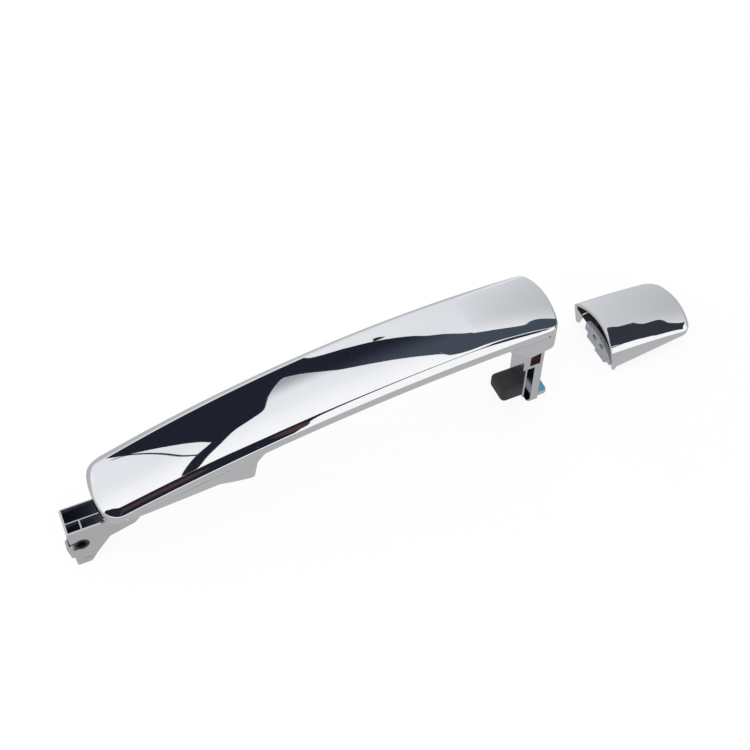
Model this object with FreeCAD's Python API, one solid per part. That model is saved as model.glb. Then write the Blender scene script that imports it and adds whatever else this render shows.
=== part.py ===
import FreeCAD, Part
import math
import os

# Car door handle, pull type: a bright grip that hooks on a front pivot and latches at its
# rear, with the separate end cap that closes the line of the handle behind it.
# Millimetres. X runs from the front pivot to the rear, Y across the door opening height,
# Z outward from the door skin. The origin is the axis of the pivot bush.

Vec = FreeCAD.Vector

# ---- driving dimensions -------------------------------------------------------------------

# grip, as a whole
GRIP_FRONT = 9.0            # front tip of the grip behind the pivot axis
GRIP_LENGTH = 190.0         # front tip to rear apex
GRIP_HALF_WIDTH = 16.6      # widest point, from the middle plane to the skirt
GRIP_NARROWING = 1.7        # how much narrower each side is at the front tip
EDGE_HEIGHT = 44.1          # highest point of the skirt's upper edge line
EDGE_DROP = 25.5            # fall of that line from its top to the front tip
TOP_SETBACK = 22.0          # the line's top stands this far ahead of the rear apex
CROWN = 4.5                 # rise of the face across its width
REAR_CROWN = 3.5            # the same at the rear end
BEVEL = 2.3                 # width of the bevel along both long edges
BEVEL_STEEPNESS = 1.15      # bevel height for each unit of its width
SKIRT = 3.7                 # depth of the cover's side wall under the bevel
SKIRT_FRONT = 2.0           # the same at the front tip
SKIRT_FADE = 34.0           # length over which the skirt reaches its full depth
REAR_BOW = 1.9              # how far the rear end bows backwards
FRONT_BOW = 3.0             # how far the front end bows forwards
FRONT_CORNER = 8.5          # plan radius of the front corners
REAR_CORNER = 4.0           # plan radius of the rear corners
COVER_WALL = 1.8            # wall of the cover
SEAT_GAP = 0.05             # gap between the cover's wall and the base inside it

# base
BASE_WALL = 2.2             # plate that closes the underside of the grip
FRONT_BLOCK_LENGTH = 59.3   # front tip to the bump ahead of the finger recess
FRONT_BLOCK_RISE = 1.5      # height of the bump's lower corner over the front tip's
FRONT_BLOCK_SLOPE = 0.098   # rise of the block's straight underside for its length
BUMP_LENGTH = 13.6          # part of the block where it dips to the bump's corner
FINGER_STEP = 14.5          # length of the curve from the bump up to the grip
REAR_BLOCK_LENGTH = 23.0    # rear block, back from the grip's rear apex
REAR_BLOCK_DEPTH = 12.9     # depth of the rear block under the edge line

# pivot bush and fork
BUSH_BORE = 4.0             # bore for the door bracket's pin
BUSH_OUTER = 6.0
BUSH_CLEARANCE = 0.1        # radial running clearance in the fork
ARM_WIDTH = 12.4            # width of the fork arm
ARM_FRONT = 4.3             # arm in front of the pivot axis
ARM_TOP = 8.9               # top of the arm over the pivot axis
ARM_POCKETS = (1.1, 0.25)   # depth of the pockets in the arm's top, at their front and rear
FORK_FOOT = 13.0            # lowest point of the fork under the pivot axis
SLOT_MOUTH = 5.0            # neck of the slot, smaller than the bush
PLATE_WIDTH = 3.1           # near prong of the fork
FORK_STEP = 1.7             # forward step of the far prong's lower lip

# latch leg
LEG_WIDTH = 12.0
LEG_LENGTH = 9.1            # leg along the handle
LEG_OVERHANG = 0.2          # leg behind the grip's rear apex
LEG_FOOT = 13.2             # foot of the leg under the pivot axis
BOSS_FOOT = 9.9             # underside of the boss over the pivot axis
FLANGE = 0.9                # front flange of the leg's channel
FLANGE_SETBACK = 1.2        # flange behind the boss's front face
BAR = 3.7                   # rear bar of the leg's channel
WEB = 2.4                   # web that closes the channel at the far side
BOSS_RELIEF = 1.6           # relief at the boss's top edge, under the grip's block
HOOK_REACH = 4.8            # how far the latch hook stands behind the leg
HOOK_THICKNESS = 2.6
SHOE_RISE = 9.0             # height of the low-friction shoe on the hook

# bumper
BUMPER_LENGTH = 9.8
BUMPER_WIDTH = 12.0
BUMPER_HEIGHT = 7.6
BUMPER_TOP = -0.4           # top of the bumper over the pivot axis
BUMPER_ROUND = 2.2
TAB_LENGTH = 5.0            # tab of the leg that holds the bumper
TAB_HEIGHT = 3.0
TAB_WIDTH = 7.0

# stiffener and damping strip in the hollow of the grip
STRIP_THICKNESS = 1.2
STRIP_WIDTH = 13.0
PAD_THICKNESS = 1.5
PAD_WIDTH = 10.0

# end cap
CAP_LENGTH = 43.9
CAP_HALF_WIDTH = 16.1
CAP_DEPTH = 12.2            # front side wall under the bevel's lower edge
CAP_FOOT_RISE = 7.0         # rise of the side wall's foot from front to tail
CAP_FALL = 3.4              # fall of the bevel line from front to tail
CAP_BEVEL = 1.8
CAP_TAIL_CORNERS = (5.0, 8.0)    # plan radii at the tail, lower side and upper side
CAP_TAIL_BOW = 3.0          # how far the tail bows backwards
CAP_WALL = 1.7
CAP_LEAN = 2.5              # how far the foot of the front edge stands back
CAP_GAP = 0.8               # gap between cap and grip when it is fitted
FRAME_GAP = 0.1             # frame to shell
FRAME_WALL = 2.0
FRAME_SETBACK = 1.4         # frame behind the shell's front edge
FRAME_TOP_GAP = 4.2         # air over the frame, under the crown
FRAME_WALL_DROP = 2.3       # how much lower the frame's front wall stands
FRAME_WALL_END = 7.0        # where the front wall falls to a low sill, off the middle
CAP_REST = (36.9, 10.1, 44.5)   # from its fitted place to where it lies: back, across, down

# fasteners
SCREW_SHANK = 3.0           # self-tapping screw, nominal diameter
SCREW_HEAD = 5.6
SCREW_HEAD_HEIGHT = 2.0
SCREW_FREE = 0.2            # radial clearance of a free hole
DRIVE_WIDTH = 2.2           # hexalobular drive, drawn as a hexagon
DRIVE_DEPTH = 1.2
INSERT_OUTER = 5.0          # brass insert in the cap's frame
INSERT_BORE = 3.3
INSERT_LENGTH = 5.5
FRAME_SCREW_LENGTH = 8.5
CLIP_LENGTH = 9.0           # spring clip of the cap
CLIP_WIDTH = 7.0
CLIP_HEIGHT = 3.4
CLIP_SHEET = 0.6
PAD_LENGTH = 3.6            # felt pad in the cap
PAD_RISE = 1.2

# ---- derived places -----------------------------------------------------------------------

GRIP_REAR = GRIP_FRONT + GRIP_LENGTH
TOP_X = GRIP_REAR - TOP_SETBACK
RUN = TOP_X - GRIP_FRONT
EDGE_RADIUS = (RUN ** 2 + EDGE_DROP ** 2) / (2 * EDGE_DROP)
LEG_REAR = GRIP_REAR + LEG_OVERHANG
LEG_FRONT = LEG_REAR - LEG_LENGTH
REAR_BLOCK_FOOT = EDGE_HEIGHT - REAR_BLOCK_DEPTH
FRONT_BLOCK_FOOT = EDGE_HEIGHT - EDGE_DROP - SKIRT_FRONT
STATIONS = 11
OVERRUN = 6.0               # how far lofts run past the grip's ends before trimming
FAR = 60.0                  # larger than any part of the handle across or down


# ---- shapes used all over -----------------------------------------------------------------

def box(x0, x1, y0, y1, z0, z1):
    """Box between two corners."""
    return Part.makeBox(x1 - x0, y1 - y0, z1 - z0, Vec(x0, y0, z0))


def post(x, y, z0, z1, radius):
    """Upright cylinder."""
    return Part.makeCylinder(radius, z1 - z0, Vec(x, y, z0), Vec(0, 0, 1))


def pin(x, z, y0, y1, radius):
    """Cylinder across the handle."""
    return Part.makeCylinder(radius, y1 - y0, Vec(x, y0, z), Vec(0, 1, 0))


def side_plate(points, y0, y1):
    """Closed XZ outline, extruded across the handle. A three-number entry gives a point
    and, before it, the middle of the arc that leads to it as a nested pair."""
    edges = []
    last = Vec(points[0][0], y0, points[0][1])
    first = last
    for entry in list(points[1:]) + [points[0]]:
        if len(entry) == 3:
            via = Vec(entry[2][0], y0, entry[2][1])
            end = Vec(entry[0], y0, entry[1])
            edges.append(Part.Arc(last, via, end).toShape())
        else:
            end = Vec(entry[0], y0, entry[1])
            if end.distanceToPoint(last) > 1e-6:
                edges.append(Part.LineSegment(last, end).toShape())
        last = end
    if last.distanceToPoint(first) > 1e-6:
        edges.append(Part.LineSegment(last, first).toShape())
    return Part.Face(Part.Wire(edges)).extrude(Vec(0, y1 - y0, 0))


def section(x, half, low, edge, bevel, rise):
    """Cross-section of a crowned bar: flat foot, upright sides, bevels and a crown arc."""
    inner = half - bevel
    crease = edge + bevel * BEVEL_STEEPNESS
    corners = [Vec(x, -inner, crease), Vec(x, -half, edge), Vec(x, -half, low),
               Vec(x, half, low), Vec(x, half, edge), Vec(x, inner, crease)]
    edges = [Part.LineSegment(a, b).toShape() for a, b in zip(corners, corners[1:])]
    edges.append(Part.Arc(corners[-1], Vec(x, 0, crease + rise), corners[0]).toShape())
    return Part.Wire(edges)


def slab_section(x, half, low, high, taper=0.0):
    """Four-sided cross-section whose foot is narrower by the taper on each side."""
    corners = [Vec(x, -half, high), Vec(x, -half + taper, low),
               Vec(x, half - taper, low), Vec(x, half, high), Vec(x, -half, high)]
    return Part.Wire([Part.LineSegment(a, b).toShape() for a, b in zip(corners, corners[1:])])


def loft(sections):
    """Smooth solid through cross-sections."""
    return Part.makeLoft(sections, True, False)


def end_cut(x, bow, half, low, high, facing):
    """What lies past a bowed end whose apex is at x; facing is +1 for a rear end."""
    radius = (half ** 2 + bow ** 2) / (2 * bow)
    centre = x - facing * radius
    reach = bow + 2 * OVERRUN
    near = min(x - facing * (bow + 0.2), x + facing * reach)
    block = box(near, near + reach + bow + 0.2, -half - 5, half + 5, low, high)
    return block.cut(post(centre, 0, low, high, radius))


def corner_cut(x, bow, half, radius, side, facing, low, high):
    """What lies outside an upright corner that runs smoothly from a bowed end into the side."""
    bow_radius = (half ** 2 + bow ** 2) / (2 * bow)
    flat = half - radius
    reach = math.sqrt((bow_radius - radius) ** 2 - flat ** 2)
    cx = x - facing * (bow_radius - reach)
    start = flat * bow_radius / (bow_radius - radius)
    x0, x1 = sorted((cx, x + facing * (radius + OVERRUN)))
    y0, y1 = sorted((side * start, side * (half + 5)))
    return box(x0, x1, y0, y1, low, high).cut(post(cx, side * flat, low, high, radius))


def screw(x, y, head, length, down=True):
    """Pan-head screw under or over its seat height, with a blind drive."""
    way = -1 if down else 1
    axis = Vec(0, 0, way)
    shank = Part.makeCylinder(SCREW_SHANK / 2, length, Vec(x, y, head), axis)
    cap = Part.makeCylinder(SCREW_HEAD / 2, SCREW_HEAD_HEIGHT, Vec(x, y, head), axis * -1)
    top = head - way * SCREW_HEAD_HEIGHT
    rim = [e for e in cap.Edges if abs(e.CenterOfMass.z - top) < 1e-6 and len(e.Vertexes) == 1]
    cap = cap.makeFillet(0.7, rim[:1])
    drive = hexagon(x, y, DRIVE_WIDTH).extrude(Vec(0, 0, way * DRIVE_DEPTH))
    drive.translate(Vec(0, 0, top))
    return cap.fuse(shank).cut(drive).removeSplitter()


def hexagon(x, y, across):
    """Flat hexagon at height zero."""
    radius = across / math.sqrt(3)
    corners = []
    for turn in range(7):
        angle = math.radians(60 * turn)
        corners.append(Vec(x + radius * math.cos(angle), y + radius * math.sin(angle), 0))
    return Part.Face(Part.makePolygon(corners))


# ---- the grip's own lines -----------------------------------------------------------------

def edge_line(x):
    """Height of the skirt's upper edge."""
    return EDGE_HEIGHT - EDGE_RADIUS + math.sqrt(EDGE_RADIUS ** 2 - (x - TOP_X) ** 2)


def skirt_foot(x):
    """Height of the cover's lower edge; the skirt is shallower over the front tip."""
    fade = max(0.0, 1 - (x - GRIP_FRONT) / SKIRT_FADE) ** 2
    return edge_line(x) - SKIRT + (SKIRT - SKIRT_FRONT) * min(fade, 1.6)


def half_width(x):
    """Half width of the grip: a slight barrel, narrowest at the front."""
    middle = GRIP_FRONT + 0.6 * GRIP_LENGTH
    return GRIP_HALF_WIDTH - GRIP_NARROWING * ((x - middle) / (middle - GRIP_FRONT)) ** 2


def bevel_width(x):
    """Bevel, full along the grip and dying out at the rear end."""
    fade = max(0.0, (x - TOP_X + 14) / (TOP_SETBACK + 14))
    return max(0.25, BEVEL * (1 - 0.85 * fade ** 1.5))


def crown(x):
    """Rise of the crown; it flattens over the rear end."""
    fade = max(0.0, (x - TOP_X + 14) / (TOP_SETBACK + 14))
    return CROWN - (CROWN - REAR_CROWN) * min(fade, 1.2)


def grip_stations():
    """Places of the cross-sections along the grip."""
    first = GRIP_FRONT - OVERRUN
    span = GRIP_LENGTH + 2 * OVERRUN
    return [first + span * n / (STATIONS - 1) for n in range(STATIONS)]


def trim_grip(solid, inset):
    """Cut a grip-length solid to the plan outline, inset from the outer surface."""
    low, high = -FAR, 2 * FAR
    front = GRIP_FRONT + inset
    rear = GRIP_REAR - inset
    front_half = half_width(GRIP_FRONT + FRONT_CORNER) - inset
    rear_half = half_width(GRIP_REAR) - inset
    solid = solid.cut(end_cut(front, FRONT_BOW, front_half, low, high, -1))
    solid = solid.cut(end_cut(rear, REAR_BOW, rear_half, low, high, 1))
    for side in (-1, 1):
        solid = solid.cut(corner_cut(front, FRONT_BOW, front_half, FRONT_CORNER - inset,
                                     side, -1, low, high))
        solid = solid.cut(corner_cut(rear, REAR_BOW, rear_half, REAR_CORNER - inset,
                                     side, 1, low, high))
    return solid


def grip_bar(inset, drop):
    """Crowned bar of the grip, inset from the outer surface, its foot dropped by drop."""
    sections = []
    for x in grip_stations():
        half = half_width(x) - inset
        bevel = bevel_width(x) * (1 - 0.2 * inset / COVER_WALL)
        edge = edge_line(x) - 0.45 * inset
        sections.append(section(x, half, skirt_foot(x) - drop, edge, bevel, crown(x)))
    return loft(sections)


# ---- grip cover ---------------------------------------------------------------------------

COVER_SCREWS = [(GRIP_FRONT + 38, 0.0), (LEG_FRONT - 6.5, 0.0)]
COVER_BOSS = 3.4            # radius of the bosses for the cover screws


def base_top(x):
    """Height of the base plate's upper face."""
    return skirt_foot(x) + BASE_WALL


def cover_boss(x, y):
    """Boss under the cover's crown that a cover screw bites into."""
    roof = edge_line(x) + BEVEL * BEVEL_STEEPNESS + CROWN
    return post(x, y, base_top(x + COVER_BOSS) + SCREW_FREE, roof, COVER_BOSS)


def grip_cover():
    """Plated shell: crowned face, bevels and skirt, open towards the door."""
    outer = trim_grip(grip_bar(0, 0), 0)
    hollow = trim_grip(grip_bar(COVER_WALL, 2), COVER_WALL)
    shell = outer.cut(hollow)
    for x, y in COVER_SCREWS:
        shell = shell.fuse(cover_boss(x, y).common(outer))
    for x, y in COVER_SCREWS:
        shell = shell.cut(post(x, y, 0, edge_line(x) + REAR_CROWN - 0.6, SCREW_SHANK / 2))
    return shell


# ---- grip base ----------------------------------------------------------------------------

def block_foot(x):
    """Height of the front block's straight underside."""
    return FRONT_BLOCK_FOOT + FRONT_BLOCK_SLOPE * (x - GRIP_FRONT + 1)


def front_block_outline():
    """Side outline of the block over the front pivot, with the curve up to the finger recess."""
    bump = GRIP_FRONT + FRONT_BLOCK_LENGTH
    foot = FRONT_BLOCK_FOOT + FRONT_BLOCK_RISE
    dip = bump - BUMP_LENGTH
    end = bump + FINGER_STEP
    return [(GRIP_FRONT - 1, EDGE_HEIGHT), (GRIP_FRONT - 1, FRONT_BLOCK_FOOT), (dip, block_foot(dip)),
            (bump - 1.2, foot, (bump - 6.6, foot + 1.1)), (bump + 0.2, foot + 1.4, (bump - 0.2, foot + 0.4)),
            (bump + 1.6, foot + 8.4), (end, skirt_foot(end), (bump + 5.2, foot + 12.8)), (end, EDGE_HEIGHT)]


def rear_block_outline():
    """Side outline of the block over the latch leg."""
    start = GRIP_REAR - REAR_BLOCK_LENGTH
    foot = REAR_BLOCK_FOOT
    return [(start, EDGE_HEIGHT), (start, skirt_foot(start)),
            (start + 9.5, foot + 0.1, (start + 5.8, foot + 3.2)),
            (GRIP_REAR - 8.0, foot + 0.9), (GRIP_REAR + 1, foot + 2.6), (GRIP_REAR + 1, EDGE_HEIGHT)]


def lower_bar():
    """Full-width bar under the skirt, from which both blocks are cut."""
    sections = []
    for x in grip_stations():
        high = skirt_foot(x) - SEAT_GAP
        sections.append(slab_section(x, half_width(x), high - 24, high, 0.9))
    return trim_grip(loft(sections), 0)


def base_plate():
    """Plate inside the skirt that closes the grip from below."""
    sections = []
    inset = COVER_WALL + SEAT_GAP
    for x in grip_stations():
        high = base_top(x)
        sections.append(slab_section(x, half_width(x) - inset, high - BASE_WALL - 0.3, high))
    return trim_grip(loft(sections), inset)


def base_body():
    """Base without its holes: plate, front block and rear block."""
    bar = lower_bar()
    blocks = [side_plate(front_block_outline(), -FAR, FAR), side_plate(rear_block_outline(), -FAR, FAR)]
    body = base_plate()
    for block in blocks:
        body = body.fuse(bar.common(block))
    return body.removeSplitter()


FORK_SCREWS = [(GRIP_FRONT + 9.5, 0.0), (GRIP_FRONT + 19.5, 0.0)]
LEG_SCREWS = [(LEG_FRONT + LEG_LENGTH / 2, -3.6), (LEG_FRONT + LEG_LENGTH / 2, 3.6)]
ROOT_GRIP = 5.5             # length of each screw in the fork or the leg


def fork_seat(x):
    """Seat height of a fork screw's head, on the base plate."""
    return base_top(x) - 0.4


def leg_seat():
    """Seat height of the leg screws' heads, in a counterbore of the rear block."""
    return REAR_BLOCK_FOOT + 4.5


def cover_seat(x):
    """Seat height of a cover screw's head, in a counterbore of the base from below."""
    return base_top(x) - BASE_WALL - 0.2


def grip_base(body):
    """Plated inner half, with the holes for the screws and the stiffener's rivets."""
    free = SCREW_SHANK / 2 + SCREW_FREE
    head = SCREW_HEAD / 2 + 0.4
    for x, y in FORK_SCREWS:
        body = body.cut(post(x, y, 0, 2 * FAR, free))
        body = body.cut(post(x, y, fork_seat(x), 2 * FAR, head))
    for x, y in LEG_SCREWS:
        body = body.cut(post(x, y, 0, 2 * FAR, free))
        body = body.cut(post(x, y, leg_seat(), 2 * FAR, head))
    for x, y in COVER_SCREWS:
        body = body.cut(post(x, y, 0, 2 * FAR, free))
        body = body.cut(post(x, y, -FAR, cover_seat(x), head))
    for x in rivet_places():
        body = body.cut(post(x, 0, base_top(x) - RIVET_ROOT, 2 * FAR, RIVET_SHANK / 2))
    return body


# ---- stiffener and damping pad ------------------------------------------------------------

STRIP_FRONT = COVER_SCREWS[0][0] + 12
STRIP_REAR = COVER_SCREWS[1][0] - 10


def strip(start, end, width, lift, thickness):
    """Flat strip that follows the base plate's upper face."""
    sections = []
    for n in range(7):
        x = start + (end - start) * n / 6
        low = base_top(x) + lift
        sections.append(slab_section(x, width / 2, low, low + thickness))
    return loft(sections)


def rivet_places():
    """Where the two rivets stand along the strip."""
    length = STRIP_REAR - STRIP_FRONT
    return [STRIP_FRONT + share * length for share in (0.06, 0.94)]


def rivet_seat(x):
    """Height of the underside of a rivet's head."""
    return base_top(x) + STRIP_THICKNESS + 0.12


def stiffener():
    """Steel strip along the hollow, spotfaced under the rivets; it keeps the grip from bending."""
    plate = strip(STRIP_FRONT, STRIP_REAR, STRIP_WIDTH, 0.02, STRIP_THICKNESS)
    for x in rivet_places():
        plate = plate.cut(post(x, 0, 0, 2 * FAR, RIVET_SHANK / 2 + 0.05))
        plate = plate.cut(post(x, 0, rivet_seat(x), 2 * FAR, RIVET_HEAD / 2 + 0.1))
    return plate


RIVET_SHANK = 2.4
RIVET_HEAD = 4.6
RIVET_HEAD_HEIGHT = 1.0
RIVET_ROOT = 1.4            # depth of each rivet in the base plate


def stiffener_rivets():
    """Two rivets that hold the stiffener down on the base."""
    group = []
    for x in rivet_places():
        seat = rivet_seat(x)
        shank = post(x, 0, base_top(x) - RIVET_ROOT, seat, RIVET_SHANK / 2)
        head = post(x, 0, seat, seat + RIVET_HEAD_HEIGHT, RIVET_HEAD / 2)
        group.append(shank.fuse(head).removeSplitter())
    return Part.makeCompound(group)


def damping_pad():
    """Foam strip on the stiffener that fills the gap to the cover and stops rattles."""
    inset = 0.14 * (STRIP_REAR - STRIP_FRONT)
    lift = STRIP_THICKNESS + 0.04
    return strip(STRIP_FRONT + inset, STRIP_REAR - inset, PAD_WIDTH, lift, PAD_THICKNESS)


# ---- pivot fork ---------------------------------------------------------------------------

def slot_cutter():
    """Snap-in slot for the bush: a round seat with a narrower mouth to the front."""
    seat = BUSH_OUTER / 2 + BUSH_CLEARANCE
    neck = SLOT_MOUTH / 2
    front = -ARM_FRONT - FORK_STEP - 1
    channel = side_plate([(0, neck), (-ARM_FRONT + 0.6, neck), (front, neck + 1.6),
                          (front, -neck - 2.0), (-ARM_FRONT + 0.2, -neck), (0, -neck)], -FAR, FAR)
    return channel.fuse(pin(0, 0, -FAR, FAR, seat))


def fork_arm():
    """Arm from the grip's front block down to the fork, as one thick plate."""
    root = GRIP_FRONT + 25
    start = GRIP_FRONT + 6.0
    outline = [(-ARM_FRONT, ARM_TOP - 0.7), (-ARM_FRONT + 0.7, ARM_TOP), (GRIP_FRONT + 3.5, ARM_TOP),
               (start, ARM_TOP + 2.5, (GRIP_FRONT + 5.3, ARM_TOP + 0.7)),
               (start, block_foot(start) + 1), (root, block_foot(root) + 1), (root, block_foot(root) - 3),
               (GRIP_FRONT + 12.3, 1.9, (GRIP_FRONT + 17.6, 7.4)),
               (GRIP_FRONT + 2.0, -1.0), (4.6, -8.8), (2.2, -FORK_FOOT + 0.5), (1.4, -FORK_FOOT),
               (-ARM_FRONT + 0.9, -FORK_FOOT), (-ARM_FRONT + 0.4, -FORK_FOOT + 0.5)]
    return side_plate(outline, -ARM_WIDTH / 2, ARM_WIDTH / 2)


def pivot_fork(base):
    """Plated die casting: two prongs side by side and a foot under the grip's block."""
    half = ARM_WIDTH / 2
    split = -half + PLATE_WIDTH
    arm = fork_arm()
    lip = side_plate([(-ARM_FRONT + 1, -3.4), (-ARM_FRONT - 0.6, -3.6), (-ARM_FRONT - FORK_STEP, -5.2),
                      (-ARM_FRONT - FORK_STEP + 0.8, -FORK_FOOT + 1.3),
                      (-ARM_FRONT + 1, -FORK_FOOT + 0.6)], split, split + 4.0)
    arm = arm.fuse(lip)
    # three shallow pockets with sloping floors leave a rim and two fine ribs on the arm's top
    front, rear = -ARM_FRONT + 0.9, GRIP_FRONT + 5.0
    for x0, x1, y0, y1 in ((front, rear, -0.8, half - 0.5), (front, 1.6, -half + 0.8, -1.3),
                           (2.2, rear, -half + 0.8, -1.3)):
        floors = []
        for x in (x0, x1):
            share = (x - front) / (rear - front)
            floors.append(ARM_TOP - ARM_POCKETS[0] * (1 - share) - ARM_POCKETS[1] * share)
        arm = arm.cut(side_plate([(x0, floors[0]), (x1, floors[1]), (x1, ARM_TOP + 1), (x0, ARM_TOP + 1)],
                                 y0, y1))
    # slit between the prongs, notch in the near prong, then the bush's slot
    arm = arm.cut(box(-FAR, -ARM_FRONT + 2.2, split - 0.45, split, -FAR, ARM_TOP - 2.5))
    arm = arm.cut(box(-1.2, 2.4, -FAR, -half + 1.0, -FORK_FOOT + 2.6, -FORK_FOOT + 3.7))
    arm = arm.cut(slot_cutter())
    for x, y in FORK_SCREWS:
        arm = arm.cut(post(x, y, fork_seat(x) - ROOT_GRIP - 6, 2 * FAR, SCREW_SHANK / 2))
    return arm.cut(base)


def fork_screws():
    """Screws from the hollow of the grip down into the fork."""
    return Part.makeCompound([screw(x, y, fork_seat(x), ROOT_GRIP + 5.5) for x, y in FORK_SCREWS])


# ---- pivot bush ---------------------------------------------------------------------------

def pivot_bush():
    """Plastic sleeve that snaps into the fork and turns it on the door bracket's pin."""
    half = ARM_WIDTH / 2
    sleeve = pin(0, 0, -half, half, BUSH_OUTER / 2)
    return sleeve.cut(pin(0, 0, -FAR, FAR, BUSH_BORE / 2))


# ---- latch leg ----------------------------------------------------------------------------

def latch_leg(base):
    """Plated die casting: boss, channel-section leg, hook and the bumper's tab."""
    half = LEG_WIDTH / 2
    front, rear = LEG_FRONT, LEG_REAR
    top = REAR_BLOCK_FOOT + 4.0
    outline = [(front - 3.5, top), (front - 3.0, REAR_BLOCK_FOOT), (front, REAR_BLOCK_FOOT - 5.0,
               (front - 1.2, REAR_BLOCK_FOOT - 2.0)),
               (front, -LEG_FOOT + 9.5), (front + 5.0, -LEG_FOOT, (front + 1.8, -LEG_FOOT + 4.2)),
               (rear + 0.2, -LEG_FOOT), (rear, top)]
    leg = side_plate(outline, -half, half)
    flange = front + FLANGE_SETBACK
    leg = leg.cut(box(front - 5, flange, -FAR, FAR, -FAR, BOSS_FOOT))
    leg = leg.cut(box(flange + FLANGE, rear - BAR, -half - 1, half - WEB, -LEG_FOOT + 1.4, BOSS_FOOT))
    # the boss stops short of the rear bar, and a window passes through it
    leg = leg.cut(box(rear - BAR - 2.5, rear - 1.4, -FAR, FAR, BOSS_FOOT + 1.6, BOSS_FOOT + 8.1))
    leg = leg.cut(box(front - 4.0, front + 0.8, -half - 1, -half + BOSS_RELIEF,
                      REAR_BLOCK_FOOT - BOSS_RELIEF / 2, REAR_BLOCK_FOOT + 5))
    # hook behind the foot
    hook = side_plate([(rear - BAR, -LEG_FOOT), (rear + HOOK_REACH - 0.6, -LEG_FOOT),
                       (rear + HOOK_REACH, -LEG_FOOT + 0.8), (rear + HOOK_REACH, -LEG_FOOT + HOOK_THICKNESS),
                       (rear - BAR, -LEG_FOOT + HOOK_THICKNESS)], -half + 1.2, half - 1.2)
    tab_mid = BUMPER_TOP - BUMPER_HEIGHT / 2
    tab = box(flange - TAB_LENGTH, flange + FLANGE, -TAB_WIDTH / 2, TAB_WIDTH / 2,
              tab_mid - TAB_HEIGHT / 2, tab_mid + TAB_HEIGHT / 2)
    leg = leg.fuse(hook).fuse(tab)
    for x, y in LEG_SCREWS:
        leg = leg.cut(post(x, y, leg_seat() - ROOT_GRIP - 6, 2 * FAR, SCREW_SHANK / 2))
    return leg.cut(base).removeSplitter()


def leg_screws():
    """Screws from the rear block's counterbores down into the leg."""
    length = ROOT_GRIP + 5.0
    return Part.makeCompound([screw(x, y, leg_seat(), length) for x, y in LEG_SCREWS])


def cover_screws():
    """Screws from under the base up into the cover's bosses."""
    group = []
    for x, y in COVER_SCREWS:
        group.append(screw(x, y, cover_seat(x), BASE_WALL + 4.4, down=False))
    return Part.makeCompound(group)


def leg_bumper():
    """Rubber block pushed on the leg's tab; it stops the handle without a knock."""
    high = BUMPER_TOP
    low = high - BUMPER_HEIGHT
    seat = LEG_FRONT + FLANGE_SETBACK
    block = box(seat - BUMPER_LENGTH, seat, -BUMPER_WIDTH / 2, BUMPER_WIDTH / 2, low, high)
    rims = []
    for edge in block.Edges:
        if edge.BoundBox.XMax < seat - 1:
            rims.append(edge)
        elif edge.BoundBox.XLength > 1:
            rims.append(edge)
    block = block.makeFillet(BUMPER_ROUND, rims)
    middle = (low + high) / 2
    pocket = box(seat - TAB_LENGTH, seat + 1, -TAB_WIDTH / 2, TAB_WIDTH / 2,
                 middle - TAB_HEIGHT / 2, middle + TAB_HEIGHT / 2)
    return block.cut(pocket)


def latch_shoe():
    """Light blue acetal wedge on the hook, which slides on the latch lever."""
    half = LEG_WIDTH / 2 - 1.2
    foot = -LEG_FOOT + HOOK_THICKNESS + 0.02
    outline = [(LEG_REAR + 0.25, foot), (LEG_REAR + HOOK_REACH - 0.2, foot),
               (LEG_REAR + HOOK_REACH - 0.2, foot + 1.2), (LEG_REAR + 0.8, foot + SHOE_RISE),
               (LEG_REAR + 0.25, foot + SHOE_RISE)]
    return side_plate(outline, -half, half)


# ---- end cap, drawn at its fitted place ---------------------------------------------------

CAP_FRONT = GRIP_REAR - REAR_BOW + CAP_GAP      # front corners of the cap
CAP_EDGE = edge_line(GRIP_REAR)                 # its bevel line starts at the grip's
CAP_STATIONS = 7
CAP_OVERRUN = 3.0


def cap_line(x):
    """Height of the bevel's lower edge on the cap, falling faster towards the tail."""
    share = (x - CAP_FRONT) / CAP_LENGTH
    return CAP_EDGE - CAP_FALL * (0.2 * share + 0.8 * share * abs(share))


def cap_bar(inset, low):
    """Crowned bar of the cap, inset from the outer surface, with a flat foot at low."""
    sections = []
    for n in range(CAP_STATIONS):
        share = n / (CAP_STATIONS - 1)
        x = CAP_FRONT - CAP_OVERRUN + (CAP_LENGTH + 2 * CAP_OVERRUN) * share
        bevel = CAP_BEVEL * (1 - 0.15 * inset / CAP_WALL)
        rise = REAR_CROWN * (1 - 0.2 * share)
        edge = cap_line(x) - 0.45 * inset
        sections.append(section(x, CAP_HALF_WIDTH - inset, low, edge, bevel, rise))
    return loft(sections)


def cap_trim(solid, inset, setback, bowed=True):
    """Cut the cap to its plan: hollow front end, bowed tail with round corners."""
    low, high = -FAR, 2 * FAR
    radius = (CAP_HALF_WIDTH ** 2 + REAR_BOW ** 2) / (2 * REAR_BOW)
    front = CAP_FRONT + setback
    if bowed:
        solid = solid.cut(post(front + REAR_BOW - radius, 0, low, high, radius))
    solid = solid.cut(box(front - FAR, front, -FAR, FAR, low, high))
    tail = CAP_FRONT + CAP_LENGTH - inset
    half = CAP_HALF_WIDTH - inset
    solid = solid.cut(end_cut(tail, CAP_TAIL_BOW, half, low, high, 1))
    for side, corner in zip((-1, 1), CAP_TAIL_CORNERS):
        solid = solid.cut(corner_cut(tail, CAP_TAIL_BOW, half, corner - inset, side, 1, low, high))
    return solid


def cap_foot(x):
    """Height of the side wall's foot behind the front corner: a straight rise to the tail."""
    return CAP_EDGE - CAP_DEPTH + 1.0 + CAP_FOOT_RISE * (x - CAP_FRONT) / CAP_LENGTH


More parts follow.
